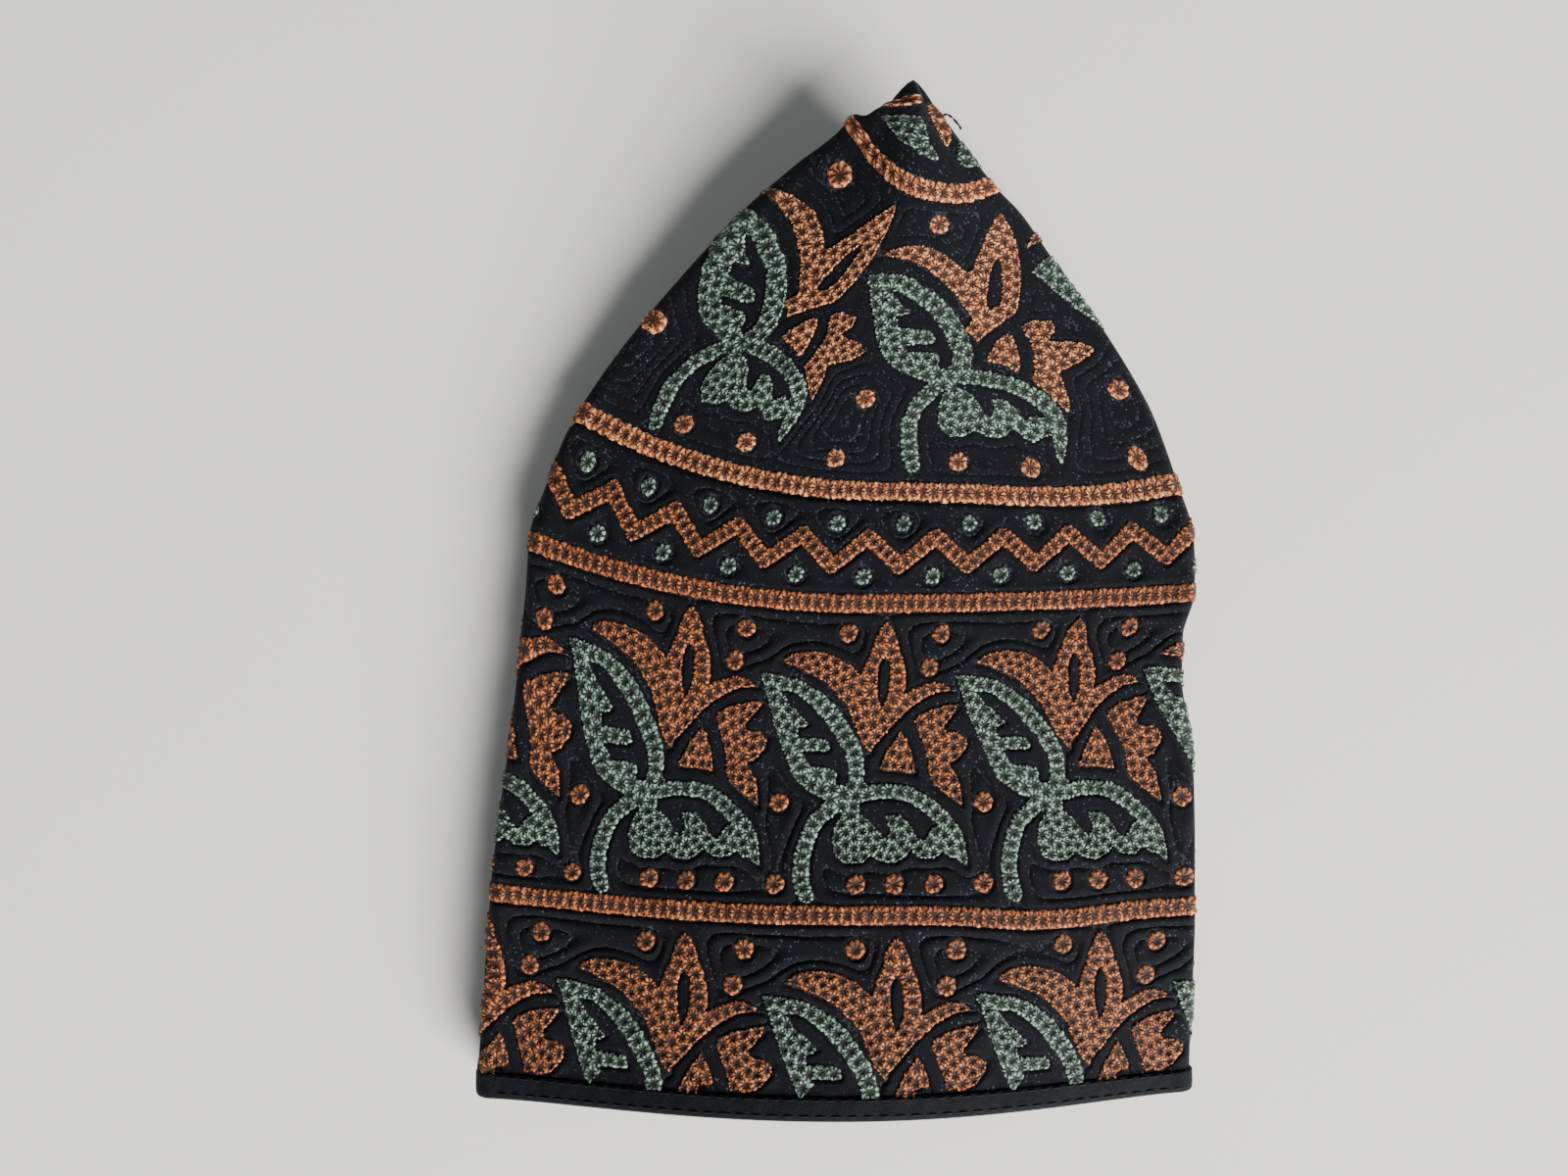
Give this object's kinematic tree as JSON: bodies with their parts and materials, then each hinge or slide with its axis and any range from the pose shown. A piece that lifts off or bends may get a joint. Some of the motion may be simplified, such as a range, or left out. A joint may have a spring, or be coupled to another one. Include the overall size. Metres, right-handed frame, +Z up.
{
  "type": "omani cap folded flat",
  "caption": "Soft round embroidered cap with a tall side band and bound edge, folded into a quarter and lying flat.",
  "frame": {"origin": "middle of the folded cap on the surface that it lies on", "axes": "+Y from the mouth to the crown's tip, +X across the fold to the right of the front panel, +Z up out of the front panel"},
  "size_m": [0.1442, 0.199, 0.0291],
  "materials": {
    "crown_cloth": "matt black cotton, quilted and closely embroidered in copper and grey green thread",
    "band_cloth": "matt black cotton, quilted and closely embroidered in copper and grey green thread",
    "binding_tape": "plain matt black cotton tape with two rows of stitching"
  },
  "bodies": {
    "root": {"crown": "crown_cloth", "side_band": "band_cloth", "hem_binding": "binding_tape"}
  },
  "joints": []
}
